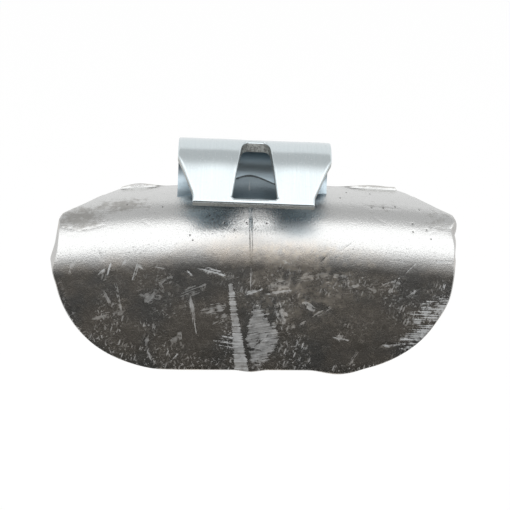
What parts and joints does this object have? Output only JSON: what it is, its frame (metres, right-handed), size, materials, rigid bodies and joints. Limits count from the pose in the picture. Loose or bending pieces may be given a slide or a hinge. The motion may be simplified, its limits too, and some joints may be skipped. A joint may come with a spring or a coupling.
{
  "type": "wheel balance weight",
  "caption": "Clip-on wheel balance weight: a cast lead body with a rounded rim seat, and a folded zinc-plated spring clip that hooks over the rim lip.",
  "frame": {"origin": "middle of the clip's loop, where the edge of the rim lip sits", "axes": "+X along the rim, -Y from the lead's flat face towards the tyre, +Z away from the wheel hub"},
  "size_m": [0.0704, 0.0177, 0.0418],
  "materials": {
    "cast_lead": "cast lead, grey and softly shiny, with scrapes and dull oxide",
    "zinc_steel": "bright zinc plate with a bluish cast"
  },
  "bodies": {
    "root": {"lead_body": "cast_lead", "steel_clip": "zinc_steel"}
  },
  "joints": []
}
